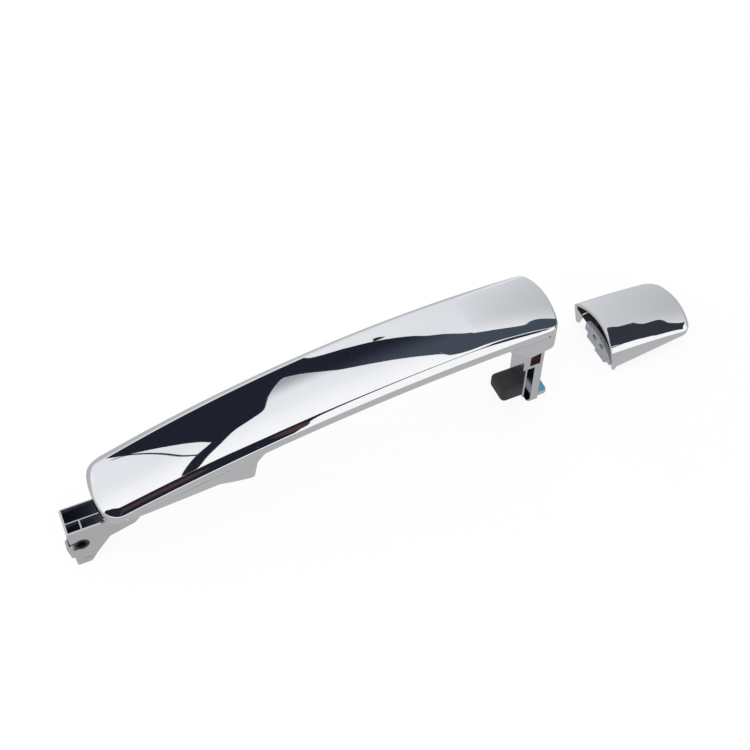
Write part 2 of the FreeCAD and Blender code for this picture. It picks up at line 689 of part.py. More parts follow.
def cap_side(lean_back, low_gap):
    """Side outline of the wedge: it leans back at the front and thins out to the tail."""
    front = CAP_FRONT
    foot = CAP_EDGE - CAP_DEPTH + low_gap
    heel = front + lean_back
    tail = CAP_FRONT + CAP_LENGTH + CAP_OVERRUN
    return side_plate([(front - 0.01, CAP_EDGE), (front - 0.01, 2 * FAR), (tail, 2 * FAR),
                       (tail, cap_foot(tail) + low_gap), (heel + 1.8, cap_foot(heel + 1.8) + low_gap),
                       (heel + 1.4, foot), (heel, foot)], -FAR, FAR)


FRAME_SCREW_X = CAP_FRONT + 0.36 * CAP_LENGTH
FRAME_SCREWS = [(FRAME_SCREW_X, -9.0), (FRAME_SCREW_X, 9.0)]
FRAME_BOSS = 3.2
INSERT_X = CAP_FRONT + 0.547 * CAP_LENGTH
INSERT_BOSS = INSERT_OUTER / 2 + 1.6
CLIP_FRONT = CAP_FRONT + 0.185 * CAP_LENGTH


def frame_space():
    """Room for the frame inside the shell, with air left under the crown."""
    inset = CAP_WALL + FRAME_GAP
    space = cap_trim(cap_bar(inset, -5), inset, FRAME_SETBACK, False).common(cap_side(0.6, 0.2))
    lowered = space.copy()
    lowered.translate(Vec(0, 0, -FRAME_TOP_GAP))
    return space.common(lowered)


def cap_shell(space):
    """Plated wedge-shaped shell, open at the front and towards the door, with screw bosses."""
    outer = cap_trim(cap_bar(0, 0), 0, 0).common(cap_side(CAP_LEAN, 0))
    hollow = cap_trim(cap_bar(CAP_WALL, -5), CAP_WALL, -OVERRUN)
    hollow = hollow.common(box(CAP_FRONT - OVERRUN, CAP_FRONT + CAP_LENGTH, -FAR, FAR, -FAR, 2 * FAR))
    shell = outer.cut(hollow)
    for x, y in FRAME_SCREWS:
        shell = shell.fuse(post(x, y, CAP_EDGE - 4, 2 * FAR, FRAME_BOSS - 0.4).common(outer).cut(space))
    for x, y in FRAME_SCREWS:
        tip = frame_seat(x) + SCREW_HEAD_HEIGHT + FRAME_SCREW_LENGTH
        shell = shell.cut(post(x, y, 0, tip, SCREW_SHANK / 2))
    return shell


def frame_seat(x):
    """Height of the underside of the frame's floor, just inside the shell's foot."""
    return cap_foot(x) + 1.0


def floor_top(x):
    """Height of the upper face of the frame's sloping floor."""
    return frame_seat(x) + FRAME_WALL


def cap_frame(space):
    """Grey plastic carrier inside the shell: front wall, floor, side ribs and screw bosses."""
    start = CAP_FRONT + FRAME_SETBACK
    rear = CAP_FRONT + CAP_LENGTH - 8
    low = CAP_EDGE - CAP_DEPTH
    floor = side_plate([(start, frame_seat(start)), (rear, frame_seat(rear)),
                        (rear, floor_top(rear)), (start, floor_top(start))], -FAR, FAR)
    wall = box(start, start + FRAME_WALL, -FAR, FAR, frame_seat(start), 2 * FAR)
    wall = wall.cut(box(start - 1, start + 3, FRAME_WALL_END, FAR, floor_top(start), 3 * FAR))
    lower_roof = space.copy()
    lower_roof.translate(Vec(0, 0, -FRAME_WALL_DROP))
    wall = wall.common(lower_roof)
    deep = box(start, start + 6.0, -10.6, -2.6, low, floor_top(start))
    deep = deep.fuse(box(start, start + 6.0, -2.6, 4.6, low + 1.6, floor_top(start)))
    frame = space.common(floor.fuse(wall)).fuse(deep)
    for side in (-1, 1):
        y = side * 5.2
        rib = box(start + 5, rear - 2, y - 0.8, y + 0.8, frame_seat(start), 2 * FAR)
        frame = frame.fuse(rib.common(space))
    for x, y in FRAME_SCREWS:
        frame = frame.fuse(post(x, y, frame_seat(x), 2 * FAR, FRAME_BOSS).common(space))
    boss = post(INSERT_X, 0, frame_seat(INSERT_X) - 0.3, 2 * FAR, INSERT_BOSS)
    frame = frame.fuse(boss.common(space))
    # windows that lighten the front wall, and a pocket in the deep block
    for y in (-6.4, -0.6):
        frame = frame.cut(box(start - 1, start + 3.9, y - 1.5, y + 1.5, CAP_EDGE - 6.6, CAP_EDGE - 4.4))
    frame = frame.cut(box(start + 1.4, start + 4.6, -9.2, -4.0, low - 1, frame_seat(start) + 0.4))
    frame = frame.cut(box(start - 1, start + 6.0, 4.6, FAR, -FAR, frame_seat(start) + 2.4))
    free = SCREW_SHANK / 2 + SCREW_FREE
    for x, y in FRAME_SCREWS:
        frame = frame.cut(post(x, y, 0, 2 * FAR, free))
        frame = frame.cut(post(x, y, 0, frame_seat(x) + 1.6, SCREW_HEAD / 2 + 0.3))
    return frame.cut(post(INSERT_X, 0, 0, 2 * FAR, INSERT_OUTER / 2)).removeSplitter()


def frame_screws():
    """Screws from under the frame up into the shell's bosses."""
    group = []
    for x, y in FRAME_SCREWS:
        group.append(screw(x, y, frame_seat(x) + 1.6, FRAME_SCREW_LENGTH, down=False))
    return Part.makeCompound(group)


def cap_insert():
    """Brass insert moulded into the frame; the screw that fixes the cap to the door enters it."""
    foot = frame_seat(INSERT_X)
    body = post(INSERT_X, 0, foot, foot + INSERT_LENGTH, INSERT_OUTER / 2)
    for share in (0.3, 0.65):
        height = foot + INSERT_LENGTH * share
        ring = post(INSERT_X, 0, height, height + 0.6, INSERT_OUTER)
        body = body.cut(ring.cut(post(INSERT_X, 0, height, height + 0.6, INSERT_OUTER / 2 - 0.3)))
    return body.cut(post(INSERT_X, 0, foot, foot + INSERT_LENGTH, INSERT_BORE / 2))


def cap_clip():
    """Spring steel clip on the frame's floor that snaps on the door bracket's edge."""
    start = CLIP_FRONT
    rear = start + CLIP_LENGTH
    sheet = CLIP_SHEET
    rise = floor_top(rear) + CLIP_HEIGHT
    outline = [(start, floor_top(start)), (rear, floor_top(rear)), (rear, rise), (start + 2.2, rise - 1.0),
               (start + 2.2, rise - 1.0 - sheet), (rear - sheet, rise - sheet),
               (rear - sheet, floor_top(rear - sheet) + sheet), (start, floor_top(start) + sheet)]
    return side_plate(outline, -CLIP_WIDTH / 2, CLIP_WIDTH / 2)


def cap_pad():
    """Felt pad glued on the frame's floor near the tail, which keeps the cap from ticking."""
    start = INSERT_X + INSERT_BOSS + 0.5
    end = start + PAD_LENGTH
    outline = [(start, floor_top(start)), (end, floor_top(end)),
               (end, floor_top(end) + PAD_RISE), (start, floor_top(start) + PAD_RISE)]
    return side_plate(outline, -4.2, 4.2)


# ---- writing the parts --------------------------------------------------------------------

def at_rest(shape):
    """Move a piece of the cap from its fitted place to where it lies apart."""
    moved = shape.copy()
    moved.translate(Vec(CAP_REST[0], CAP_REST[1], -CAP_REST[2]))
    return moved


def build():
    """Every separate piece of the handle by name."""
    solid_base = base_body()
    parts = {}
    parts["pivot_bush"] = pivot_bush()
    parts["grip_cover"] = grip_cover()
    parts["grip_base"] = grip_base(solid_base)
    parts["stiffener"] = stiffener()
    parts["stiffener_rivets"] = stiffener_rivets()
    parts["damping_pad"] = damping_pad()
    parts["pivot_fork"] = pivot_fork(solid_base)
    parts["fork_screws"] = fork_screws()
    parts["latch_leg"] = latch_leg(solid_base)
    parts["leg_screws"] = leg_screws()
    parts["cover_screws"] = cover_screws()
    parts["leg_bumper"] = leg_bumper()
    parts["latch_shoe"] = latch_shoe()
    space = frame_space()
    parts["cap_shell"] = at_rest(cap_shell(space))
    parts["cap_frame"] = at_rest(cap_frame(space))
    parts["frame_screws"] = at_rest(frame_screws())
    parts["cap_insert"] = at_rest(cap_insert())
    parts["cap_clip"] = at_rest(cap_clip())
    parts["cap_pad"] = at_rest(cap_pad())
    return parts


os.makedirs("parts", exist_ok=True)
for name, shape in build().items():
    shape.exportStep("parts/" + name + ".step")
    print(name, "solids", len(shape.Solids), "volume", round(shape.Volume, 1), "valid", shape.isValid())
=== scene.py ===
import math

import bmesh
import bpy
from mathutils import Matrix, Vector, geometry


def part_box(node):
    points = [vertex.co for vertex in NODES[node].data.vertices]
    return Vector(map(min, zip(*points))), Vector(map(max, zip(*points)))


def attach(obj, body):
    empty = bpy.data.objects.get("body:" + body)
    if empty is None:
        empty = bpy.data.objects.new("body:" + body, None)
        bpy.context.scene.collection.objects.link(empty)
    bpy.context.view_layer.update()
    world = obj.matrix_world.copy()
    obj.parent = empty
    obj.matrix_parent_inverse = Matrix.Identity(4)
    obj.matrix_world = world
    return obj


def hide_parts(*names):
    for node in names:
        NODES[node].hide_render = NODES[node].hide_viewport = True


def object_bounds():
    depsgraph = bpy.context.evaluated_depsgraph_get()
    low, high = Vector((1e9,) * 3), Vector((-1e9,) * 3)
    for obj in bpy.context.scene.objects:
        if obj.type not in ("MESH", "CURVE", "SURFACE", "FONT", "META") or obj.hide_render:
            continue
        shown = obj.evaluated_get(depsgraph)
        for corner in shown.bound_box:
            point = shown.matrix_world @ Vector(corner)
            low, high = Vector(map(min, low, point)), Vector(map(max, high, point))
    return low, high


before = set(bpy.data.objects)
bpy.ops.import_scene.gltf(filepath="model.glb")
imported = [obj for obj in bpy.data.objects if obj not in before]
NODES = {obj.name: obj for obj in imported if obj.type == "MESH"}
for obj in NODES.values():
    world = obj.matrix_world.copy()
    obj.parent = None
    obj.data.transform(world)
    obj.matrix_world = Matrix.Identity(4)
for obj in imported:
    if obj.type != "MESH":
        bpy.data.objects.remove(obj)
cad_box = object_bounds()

# ---- grip cover ---------------------------------------------------------------------------
# The long crowned shell a hand sees: moulded plastic about 1.8 mm thick, nickel and chrome
# plated to a mirror. A narrow bevel runs along both long edges and round the front end, and
# the short skirt under it hides the joint with the base.

MM = 0.001

cover_low, cover_high = (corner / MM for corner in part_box("grip_cover"))
grip_front = cover_low.x
grip_rear = cover_high.x
grip_length = grip_rear - grip_front
half_full = 16.6
narrowing = 1.7
widest_share = 0.6
edge_height = 44.1
edge_drop = 25.5
top_setback = 22.0
top_x = grip_rear - top_setback
edge_radius = ((top_x - grip_front) ** 2 + edge_drop ** 2) / (2 * edge_drop)
bevel_full = 2.3
bevel_slope = 1.15
fade_lead = 14.0
skirt_depth, skirt_front = 3.7, 2.0
skirt_fade = 34.0
crown_rise, rear_crown = 4.5, 3.5
front_bow, front_corner = 3.0, 8.5
rear_bow, rear_corner = 1.9, 4.0
cover_wall = 1.8


def edge_line(x):
    """Height of the skirt's upper edge, one long arc with its top near the rear."""
    return edge_height - edge_radius + math.sqrt(edge_radius ** 2 - (x - top_x) ** 2)


def rear_fade(x):
    """0 along the grip, 1 at its rear end."""
    return max(0.0, (x - top_x + fade_lead) / (top_setback + fade_lead))


def skirt_foot(x):
    """Lower edge of the skirt, which is shallower over the front tip."""
    fade = max(0.0, 1 - (x - grip_front) / skirt_fade) ** 2
    return edge_line(x) - skirt_depth + (skirt_depth - skirt_front) * fade


def half_width(x):
    """Half of the grip's width, a slight barrel."""
    middle = grip_front + widest_share * grip_length
    return half_full - narrowing * ((x - middle) / (middle - grip_front)) ** 2


def bevel_width(x):
    """Width of the bevel, dying out at the rear end."""
    return max(0.25, bevel_full * (1 - 0.85 * rear_fade(x) ** 1.5))


def face_height(x, y):
    """Crowned face of the grip: an arc across, on the arc along."""
    inner = half_width(x) - bevel_width(x)
    rise = crown_rise - (crown_rise - rear_crown) * rear_fade(x)
    radius = (inner ** 2 + rise ** 2) / (2 * rise)
    crease = edge_line(x) + bevel_width(x) * bevel_slope
    return crease + rise - radius + math.sqrt(max(radius ** 2 - y ** 2, 1.0))


def bowed_corner(half, bow, radius):
    """Set-out of a bowed end with a tangent corner: the bow's radius, how far the corner's
    centre lies behind the apex, and the angle where the two arcs meet."""
    bow_radius = (half ** 2 + bow ** 2) / (2 * bow)
    reach = math.sqrt((bow_radius - radius) ** 2 - (half - radius) ** 2)
    meet = math.degrees(math.atan2(half - radius, reach))
    return bow_radius, bow_radius - reach, meet


def turned_end(x, facing, half, bow, radius, steps):
    """Near half of a bowed end, from the side to the middle: points with their outward ways."""
    bow_radius, back, meet = bowed_corner(half, bow, radius)
    arcs = [(x - facing * back, radius - half, radius, 90.0, meet, steps),
            (x - facing * bow_radius, 0.0, bow_radius, meet, 0.0, steps)]
    line = []
    for cx, cy, size, start, end, count in arcs:
        for n in range(count):
            turn = math.radians(start + (end - start) * n / count)
            way = Vector((facing * math.cos(turn), -math.sin(turn)))
            line.append((Vector((cx, cy)) + way * size, way))
    return line


def grip_outline():
    """Plan outline of the grip with its outward ways, anticlockwise from the front's middle."""
    front_half, rear_half = half_width(grip_front + front_corner), half_width(grip_rear)
    front = turned_end(grip_front, -1, front_half, front_bow, front_corner, 20)
    rear = turned_end(grip_rear, 1, rear_half, rear_bow, rear_corner, 14)
    side_steps = 150
    start, end = front[0][0].x, rear[0][0].x
    near = [(Vector((grip_front, 0.0)), Vector((-1.0, 0.0)))] + front[::-1]
    for n in range(1, side_steps):
        x = start + (end - start) * n / side_steps
        tilt = half_width(x + 0.5) - half_width(x - 0.5)
        near.append((Vector((x, -half_width(x))), Vector((-tilt, -1.0)).normalized()))
    near += rear
    far = [(Vector((p.x, -p.y)), Vector((w.x, -w.y))) for p, w in reversed(near[1:])]
    return near + [(Vector((grip_rear, 0.0)), Vector((1.0, 0.0)))] + far


def rounded(corners, radii, steps):
    """A profile whose inner corners are replaced by short curves."""
    line = [Vector(corners[0])]
    for before, corner, after, radius in zip(corners, corners[1:], corners[2:], radii):
        a, b, c = Vector(before), Vector(corner), Vector(after)
        start = b + (a - b).normalized() * min(radius, (a - b).length * 0.48)
        end = b + (c - b).normalized() * min(radius, (c - b).length * 0.48)
        for n in range(steps + 1):
            t = n / steps
            line.append(start * (1 - t) ** 2 + b * 2 * t * (1 - t) + end * t ** 2)
    line.append(Vector(corners[-1]))
    return line


def mesh_object(name, verts, faces, material, merge=1e-6):
    """Mesh in metres from millimetre points, smooth shaded, doubles merged."""
    mesh = bpy.data.meshes.new(name)
    mesh.from_pydata([Vector(v) * MM for v in verts], [], faces)
    bm = bmesh.new()
    bm.from_mesh(mesh)
    bmesh.ops.remove_doubles(bm, verts=bm.verts, dist=merge)
    bmesh.ops.recalc_face_normals(bm, faces=bm.faces)
    bm.to_mesh(mesh)
    bm.free()
    mesh.shade_smooth()
    obj = bpy.data.objects.new(name, mesh)
    bpy.context.scene.collection.objects.link(obj)
    mesh.materials.append(material)
    return obj


def true_normals(obj, height, middle):
    """Gives the crowned face of a skin the normals of its own formula, so that it mirrors
    without ripples; the rest keeps the mesh's normals."""
    step = 0.01
    ways = []
    for vertex in obj.data.vertices:
        x, y, z = vertex.co / MM
        y -= middle
        way = Vector(vertex.normal)
        if abs(z - height(x, y)) < 0.002 and way.z > 0:
            slope_x = (height(x + step, y) - height(x - step, y)) / (2 * step)
            slope_y = (height(x, y + step) - height(x, y - step)) / (2 * step)
            way = Vector((-slope_x, -slope_y, 1.0)).normalized()
        ways.append(way)
    obj.data.normals_split_custom_set_from_vertices(ways)


def chrome(name, tone, rough_low, rough_high, grain, grain_depth, speck=0.35):
    """Plated surface: mirror with a faint haze that varies, a fine ripple and dust specks."""
    material = bpy.data.materials.new(name)
    material.use_nodes = True
    nodes, links = material.node_tree.nodes, material.node_tree.links
    shader = nodes["Principled BSDF"]
    shader.inputs["Metallic"].default_value = 1.0
    place = nodes.new("ShaderNodeTexCoord").outputs["Object"]
    haze = nodes.new("ShaderNodeTexNoise")
    haze.inputs["Scale"].default_value = 45.0
    haze.inputs["Detail"].default_value = 4.0
    links.new(place, haze.inputs["Vector"])
    tint = nodes.new("ShaderNodeValToRGB")
    tint.color_ramp.elements[0].position = 0.35
    tint.color_ramp.elements[1].position = 0.65
    tint.color_ramp.elements[0].color = [tone[n] * 0.975 for n in range(3)] + [1]
    tint.color_ramp.elements[1].color = list(tone) + [1]
    links.new(haze.outputs["Fac"], tint.inputs["Fac"])
    links.new(tint.outputs["Color"], shader.inputs["Base Color"])
    dust = nodes.new("ShaderNodeTexVoronoi")
    dust.inputs["Scale"].default_value = 260.0
    links.new(place, dust.inputs["Vector"])
    specks = nodes.new("ShaderNodeMapRange")
    specks.inputs["From Min"].default_value = 0.02
    specks.inputs["From Max"].default_value = 0.06
    specks.inputs["To Min"].default_value = speck
    specks.inputs["To Max"].default_value = 0.0
    links.new(dust.outputs["Distance"], specks.inputs["Value"])
    rough = nodes.new("ShaderNodeMapRange")
    rough.inputs["To Min"].default_value = rough_low
    rough.inputs["To Max"].default_value = rough_high
    links.new(haze.outputs["Fac"], rough.inputs["Value"])
    both = nodes.new("ShaderNodeMath")
    both.operation = "ADD"
    links.new(rough.outputs["Result"], both.inputs[0])
    links.new(specks.outputs["Result"], both.inputs[1])
    links.new(both.outputs["Value"], shader.inputs["Roughness"])
    ripple = nodes.new("ShaderNodeTexNoise")
    ripple.inputs["Scale"].default_value = grain
    ripple.inputs["Detail"].default_value = 3.0
    links.new(place, ripple.inputs["Vector"])
    bump = nodes.new("ShaderNodeBump")
    bump.inputs["Strength"].default_value = 1.0
    bump.inputs["Distance"].default_value = grain_depth
    links.new(ripple.outputs["Fac"], bump.inputs["Height"])
    links.new(bump.outputs["Normal"], shader.inputs["Normal"])
    return material


polished = chrome("polished_plating", (0.84, 0.845, 0.86), 0.012, 0.03, 160.0, 0.0000012)

# the face's rings close on a spine; the front end has a softer crease than the rest
spine_inset = 15.0
spine_front, spine_rear = grip_front + spine_inset, grip_rear - spine_inset
soft_end, soft_run = 8.0, 7.0
lip = 0.2
face_steps, roof_steps = 16, 4
rings = []
for point, way in grip_outline():
    x = point.x
    bevel = bevel_width(x)
    crease = point - way * bevel
    crease_z = face_height(crease.x, crease.y)
    edge_z = crease_z - bevel * bevel_slope
    foot_z = skirt_foot(x)
    softness = max(0.0, min(1.0, (grip_front + soft_end - x) / soft_run))
    run_in = bevel + 1.0 + 2.0 * softness
    start = point - way * run_in
    centre = Vector((min(max(x, spine_front), spine_rear), 0.0))
    profile = rounded([(0, foot_z), (0, edge_z), (bevel, crease_z),
                       (run_in, face_height(start.x, start.y))],
                      (0.5 + 0.4 * softness, 0.4 + 1.1 * softness), 6)
    ring = []
    roof = point - way * (cover_wall + 0.4)
    for n in range(roof_steps + 1):
        place = centre.lerp(roof, n / roof_steps)
        ring.append((place.x, place.y, face_height(place.x, place.y) - cover_wall))
    for depth, height in [(cover_wall, foot_z + lip), (cover_wall - lip, foot_z), (lip, foot_z),
                          (0.0, foot_z + lip)] + [tuple(p) for p in profile[1:-1]]:
        place = point - way * depth
        ring.append((place.x, place.y, height))
    for n in range(face_steps + 1):
        place = start.lerp(centre, n / face_steps)
        ring.append((place.x, place.y, face_height(place.x, place.y)))
    rings.append(ring)

ring_size = len(rings[0])
cover_verts = [place for ring in rings for place in ring]
cover_faces = []
for n in range(len(rings)):
    after = (n + 1) % len(rings)
    for k in range(ring_size - 1):
        cover_faces.append((n * ring_size + k, after * ring_size + k,
                            after * ring_size + k + 1, n * ring_size + k + 1))
cover = mesh_object("grip_cover_skin", cover_verts, cover_faces, polished, 2e-6)
true_normals(cover, face_height, 0.0)
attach(cover, "handle")
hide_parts("grip_cover")

# ---- grip base ----------------------------------------------------------------------------
# The inner half of the grip, plated like the cover. Its front block carries the fork and its
# rear block the leg; screws from below pull it against the cover.


def finish_node(name, material, round_edge, angle=35.0):
    """Give a carried-over node its material and small rounded edges."""
    obj = NODES[name]
    obj.data.materials.clear()
    obj.data.materials.append(material)
    if round_edge:
        weld = obj.modifiers.new("weld", "WELD")
        weld.merge_threshold = 0.000002
        edge = obj.modifiers.new("edges", "BEVEL")
        edge.width = round_edge * MM
        edge.segments = 2
        edge.limit_method = "ANGLE"
        edge.angle_limit = math.radians(angle)
        edge.use_clamp_overlap = True
        smooth = obj.modifiers.new("normals", "WEIGHTED_NORMAL")
        smooth.keep_sharp = False
    return obj


finish_node("grip_base", polished, 0.35)

# ---- pivot fork and latch leg -------------------------------------------------------------
# Two zinc die castings, plated without polishing, so they shine less evenly than the cover.
# Each is screwed to its block of the base.


def ramp(nodes, links, value, low, high, start=0.0, end=1.0):
    """Smooth change from start to end while the value goes from low to high."""
    change = nodes.new("ShaderNodeMapRange")
    change.interpolation_type = "SMOOTHSTEP"
    sockets = ("From Min", "From Max", "To Min", "To Max")
    for socket, number in zip(sockets, (low, high, start, end)):
        change.inputs[socket].default_value = number
    links.new(value, change.inputs["Value"])
    return change.outputs["Result"]


def times(nodes, links, one, other):
    """Product of two values."""
    product = nodes.new("ShaderNodeMath")
    product.operation = "MULTIPLY"
    links.new(one, product.inputs[0])
    links.new(other, product.inputs[1])
    return product.outputs["Value"]


def blend(nodes, links, share, first, second):
    """Colour that goes from the first to the second; each is three numbers or a socket."""
    mix = nodes.new("ShaderNodeMix")
    mix.data_type = "RGBA"
    links.new(share, mix.inputs["Factor"])
    for socket, colour in zip(("A", "B"), (first, second)):
        entry = [i for i in mix.inputs if i.name == socket and i.type == "RGBA"][0]
        if isinstance(colour, tuple):
            entry.default_value = list(colour) + [1]
        else:
            links.new(colour, entry)
    return [o for o in mix.outputs if o.type == "RGBA"][0]


def paint_recess_shade(material, low, high, tone):
    """Paints shade into a material: darkens its base colour in a deep recess between two corners,
    given in millimetres, where shadow would fall.
    """
    nodes, links = material.node_tree.nodes, material.node_tree.links
    split = nodes.new("ShaderNodeSeparateXYZ")
    links.new(nodes.new("ShaderNodeTexCoord").outputs["Object"], split.inputs["Vector"])
    inside = None
    for axis, start, end in zip("XYZ", low, high):
        soft = 0.15 * MM
        rise = ramp(nodes, links, split.outputs[axis], start * MM - soft, start * MM + soft)
        fall = ramp(nodes, links, split.outputs[axis], end * MM - soft, end * MM + soft, 1.0, 0.0)
        both = times(nodes, links, rise, fall)
        inside = times(nodes, links, inside, both) if inside else both
    # painted shade: the plain colour is blended towards the dark tone inside the box
    base = nodes["Principled BSDF"].inputs["Base Color"]
    plain = base.links[0].from_socket
    links.new(blend(nodes, links, inside, plain, tone), base)


fork_plating = chrome("fork_plating", (0.76, 0.76, 0.775), 0.05, 0.13, 900.0, 0.000003, 0.15)
arm_top, arm_half = 8.9, 6.2
# painted shade darkens the plating in the pocket just under the top of the fork's arm
paint_recess_shade(fork_plating, (-3.5, 0.7 - arm_half, arm_top - 1.3),
            (grip_front + 5.3, arm_half - 0.4, arm_top - 0.07), (0.11, 0.12, 0.145))
finish_node("pivot_fork", fork_plating, 0.14)
leg_low, leg_high = (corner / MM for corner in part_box("latch_leg"))
hook_reach, leg_length, boss_foot = 4.8, 9.1, 9.9
leg_rear = leg_high.x - hook_reach
leg_front = leg_rear - leg_length
leg_plating = chrome("leg_plating", (0.76, 0.76, 0.775), 0.08, 0.18, 900.0, 0.000004, 0.15)
# painted shade darkens the channel, the window through the boss, and the relief at the boss's top
# edge
for low, high, tone in (
        ((leg_front + 1.9, -9.0, leg_low.z + 1.2), (leg_rear - 3.5, 3.7, boss_foot - 0.05),
         (0.3, 0.32, 0.37)),
        ((leg_rear - 6.3, -5.7, boss_foot + 1.4), (leg_rear - 1.3, 9.0, boss_foot + 8.2),
         (0.5, 0.43, 0.4)),
        ((leg_front - 5.0, -5.9, leg_high.z - 4.7), (leg_front + 1.0, 0.0, leg_high.z - 3.2),
         (0.05, 0.055, 0.065))):
    paint_recess_shade(leg_plating, low, high, tone)
finish_node("latch_leg", leg_plating, 0.16)

# ---- pivot bush ---------------------------------------------------------------------------
# Black acetal sleeve, turned smooth, that snaps into the fork's round seat.

def moulded(name, tone, shade, rough_low, rough_high, grain, grain_depth, specular=0.5):
    """Plastic or rubber: mottled tone, uneven sheen and the fine grain of the mould."""
    material = bpy.data.materials.new(name)
    material.use_nodes = True
    nodes, links = material.node_tree.nodes, material.node_tree.links
    shader = nodes["Principled BSDF"]
    shader.inputs["Specular IOR Level"].default_value = specular
    place = nodes.new("ShaderNodeTexCoord").outputs["Object"]
    cloud = nodes.new("ShaderNodeTexNoise")
    cloud.inputs["Scale"].default_value = 220.0
    cloud.inputs["Detail"].default_value = 5.0
    links.new(place, cloud.inputs["Vector"])
    tint = nodes.new("ShaderNodeValToRGB")
    tint.color_ramp.elements[0].position = 0.3
    tint.color_ramp.elements[1].position = 0.7
    tint.color_ramp.elements[0].color = list(shade) + [1]
    tint.color_ramp.elements[1].color = list(tone) + [1]
    links.new(cloud.outputs["Fac"], tint.inputs["Fac"])
    links.new(tint.outputs["Color"], shader.inputs["Base Color"])
    rough = nodes.new("ShaderNodeMapRange")
    rough.inputs["To Min"].default_value = rough_low
    rough.inputs["To Max"].default_value = rough_high
    links.new(cloud.outputs["Fac"], rough.inputs["Value"])
    links.new(rough.outputs["Result"], shader.inputs["Roughness"])
    skin = nodes.new("ShaderNodeTexNoise")
    skin.inputs["Scale"].default_value = grain
    skin.inputs["Detail"].default_value = 4.0
    links.new(place, skin.inputs["Vector"])
    bump = nodes.new("ShaderNodeBump")
    bump.inputs["Strength"].default_value = 0.8
    bump.inputs["Distance"].default_value = grain_depth
    links.new(skin.outputs["Fac"], bump.inputs["Height"])
    links.new(bump.outputs["Normal"], shader.inputs["Normal"])
    return material


black_acetal = moulded("black_acetal", (0.035, 0.03, 0.028), (0.02, 0.018, 0.017), 0.25, 0.4,
                       1500.0, 0.00001)
finish_node("pivot_bush", black_acetal, 0.0)

# ---- rubber block -------------------------------------------------------------------------
# Moulded rubber pushed over a tab of the leg; it meets the bracket's stop without a knock.

rubber = moulded("black_rubber", (0.052, 0.053, 0.058), (0.036, 0.037, 0.041), 0.5, 0.7,
                 2600.0, 0.00003, 0.35)
finish_node("leg_bumper", rubber, 0.0)

# ---- latch shoe ---------------------------------------------------------------------------
# Light blue acetal wedge clipped on the hook, which slides on the latch lever.

blue_acetal = moulded("blue_acetal", (0.10, 0.42, 0.62), (0.07, 0.34, 0.54), 0.28, 0.42,
                      1800.0, 0.000012)
finish_node("latch_shoe", blue_acetal, 0.25)

# ---- screws -------------------------------------------------------------------------------
# Self-tapping screws, zinc plated, driven into the castings and into the cover's bosses.

zinc = chrome("zinc_plating", (0.62, 0.62, 0.58), 0.22, 0.38, 1400.0, 0.000004, 0.1)
for name in ("fork_screws", "leg_screws", "cover_screws", "frame_screws"):
    finish_node(name, zinc, 0.0)

# ---- stiffener, rivets and damping pad ----------------------------------------------------
# Steel strip riveted on the base inside the hollow, with a foam strip glued on it.

strip_steel = chrome("strip_steel", (0.52, 0.53, 0.54), 0.25, 0.42, 2200.0, 0.000005, 0.1)
finish_node("stiffener", strip_steel, 0.1)
finish_node("stiffener_rivets", strip_steel, 0.0)
foam = moulded("grey_foam", (0.06, 0.06, 0.065), (0.03, 0.03, 0.034), 0.85, 0.95,
               3200.0, 0.0002, 0.1)
finish_node("damping_pad", foam, 0.0)

# ---- end cap ------------------------------------------------------------------------------
# Wedge-shaped plated shell that carries the line of the grip on to the door skin. It is open
# at the front and towards the door, and a grey carrier inside it takes the screw.

shell_low, shell_high = (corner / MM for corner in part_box("cap_shell"))
cap_front, cap_rear = shell_low.x, shell_high.x
cap_middle = (shell_low.y + shell_high.y) / 2
cap_floor = shell_low.z
cap_length = cap_rear - cap_front
cap_half = (shell_high.y - shell_low.y) / 2
cap_depth = 12.2
cap_edge = cap_floor + cap_depth
cap_bevel = 1.8
cap_wall = 1.7
cap_lean = 2.5
cap_fall = 3.4
cap_crown = 3.5
foot_rise = 7.0
lug_length, lug_slope, lug_depth = 1.4, 0.4, 1.0
lean_zone = 12.0
front_hollow, hollow_zone = 1.9, 10.0
tail_bow, near_corner, far_corner = 3.0, 5.0, 8.0
cap_run_in = cap_bevel + 0.9
tail_inset = 16.0
crown_steps = 12


def cap_share(x):
    """0 at the cap's front corners, 1 at its tail."""
    return (x - cap_front) / cap_length


def cap_line(x):
    """Lower edge of the cap's bevel, falling faster towards the tail."""
    share = cap_share(x)
    return cap_edge - cap_fall * (0.2 * share + 0.8 * share * abs(share))


def cap_foot(x):
    """Foot of the cap's side wall: a small lug at its front, then a straight rise."""
    behind = leaned(x, cap_floor) - cap_front - cap_lean
    rise = lug_depth + foot_rise * cap_share(leaned(x, cap_floor))
    return cap_floor + rise * max(0.0, min(1.0, (behind - lug_length) / lug_slope))


def leaned(x, z):
    """Moves a point of the side wall back, where the wall's front edge leans."""
    back = cap_lean * max(0.0, (cap_edge - z) / cap_depth)
    return x + back * max(0.0, 1 - (x - cap_front) / lean_zone)


def cap_face(x, y):
    """Crowned face of the cap; y counts from its middle plane."""
    inner = cap_half - cap_bevel
    rise = cap_crown * (1 - 0.2 * (x - cap_front + 3) / (cap_length + 6))
    radius = (inner ** 2 + rise ** 2) / (2 * rise)
    crease = cap_line(x) + cap_bevel * bevel_slope
    return crease + rise - radius + math.sqrt(max(radius ** 2 - y ** 2, 1))


def cap_place(spot, z):
    """A point of the cap where it lies: leaning at the front, hollow where it meets the grip."""
    x, y = spot
    share = max(0.0, 1 - (x - cap_front) / hollow_zone)
    hollow = front_hollow * (1 - min(1.0, (y / cap_half) ** 2)) * share
    return (leaned(x, z) + hollow, y + cap_middle, z)


